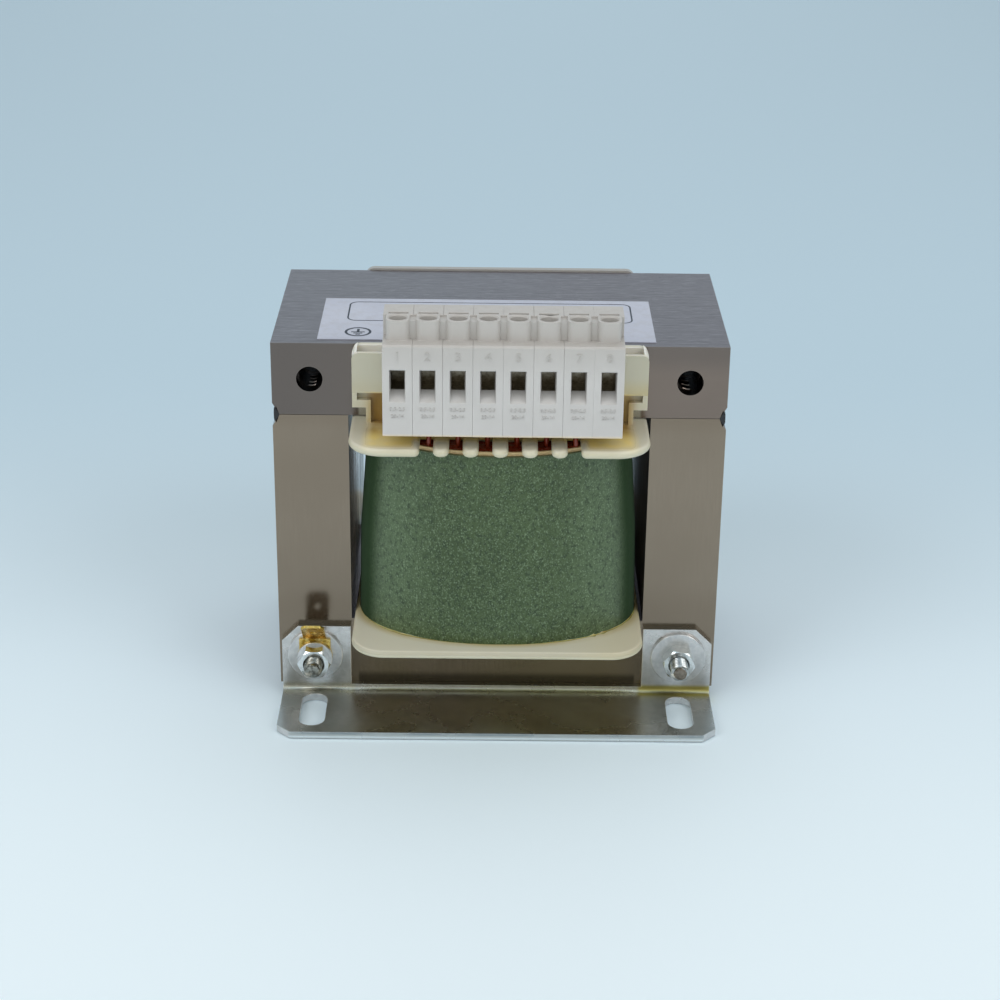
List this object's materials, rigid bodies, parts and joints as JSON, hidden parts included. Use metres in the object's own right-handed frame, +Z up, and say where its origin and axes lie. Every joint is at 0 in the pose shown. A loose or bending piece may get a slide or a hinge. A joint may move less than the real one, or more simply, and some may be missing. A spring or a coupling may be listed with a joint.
{
  "type": "fan speed autotransformer",
  "caption": "Tapped autotransformer for fan speed steps: welded lamination core, green-wrapped coil on a moulded bobbin, screw terminal row, slotted feet and earth tab.",
  "frame": {"origin": "middle of the mounting surface under the two feet", "axes": "+Z up from the mounting surface, -Y towards the terminal side, +X to the right seen from there"},
  "size_m": [0.12, 0.115, 0.1164],
  "materials": {
    "lamination_steel": "satin",
    "weld_metal": "satin",
    "bobbin_nylon": "satin",
    "enamelled_copper": "gloss",
    "insulating_paper": "matte",
    "green_pressboard": "satin",
    "terminal_plastic": "satin",
    "clamp_metal": "satin",
    "screw_steel": "satin",
    "zinc_sheet": "satin",
    "zinc_hardware": "gloss",
    "tab_brass": "gloss",
    "label_film": "satin"
  },
  "bodies": {
    "root": {"e_core_stack": "lamination_steel", "i_core_stack": "lamination_steel", "left_weld_seam": "weld_metal", "right_weld_seam": "weld_metal", "bobbin": "bobbin_nylon", "main_winding": "enamelled_copper", "interlayer_paper": "insulating_paper", "tap_winding": "enamelled_copper", "inner_wrap": "insulating_paper", "outer_wrap": "green_pressboard", "tap_lead_2": "enamelled_copper", "tap_lead_3": "enamelled_copper", "tap_lead_4": "enamelled_copper", "tap_lead_5": "enamelled_copper", "tap_lead_6": "enamelled_copper", "tap_lead_7": "enamelled_copper", "terminal_1_housing": "terminal_plastic", "terminal_2_housing": "terminal_plastic", "terminal_3_housing": "terminal_plastic", "terminal_4_housing": "terminal_plastic", "terminal_5_housing": "terminal_plastic", "terminal_6_housing": "terminal_plastic", "terminal_7_housing": "terminal_plastic", "terminal_8_housing": "terminal_plastic", "terminal_1_clamp": "clamp_metal", "terminal_2_clamp": "clamp_metal", "terminal_3_clamp": "clamp_metal", "terminal_4_clamp": "clamp_metal", "terminal_5_clamp": "clamp_metal", "terminal_6_clamp": "clamp_metal", "terminal_7_clamp": "clamp_metal", "terminal_8_clamp": "clamp_metal", "terminal_1_screw": "screw_steel", "terminal_2_screw": "screw_steel", "terminal_3_screw": "screw_steel", "terminal_4_screw": "screw_steel", "terminal_5_screw": "screw_steel", "terminal_6_screw": "screw_steel", "terminal_7_screw": "screw_steel", "terminal_8_screw": "screw_steel", "front_bracket": "zinc_sheet", "rear_bracket": "zinc_sheet", "left_bolt": "zinc_hardware", "right_bolt": "zinc_hardware", "left_nut": "zinc_hardware", "right_nut": "zinc_hardware", "left_front_washer": "zinc_hardware", "right_front_washer": "zinc_hardware", "left_rear_washer": "zinc_hardware", "right_rear_washer": "zinc_hardware", "earth_tab": "tab_brass", "earth_lock_washer": "zinc_hardware", "label": "label_film"}
  },
  "joints": []
}
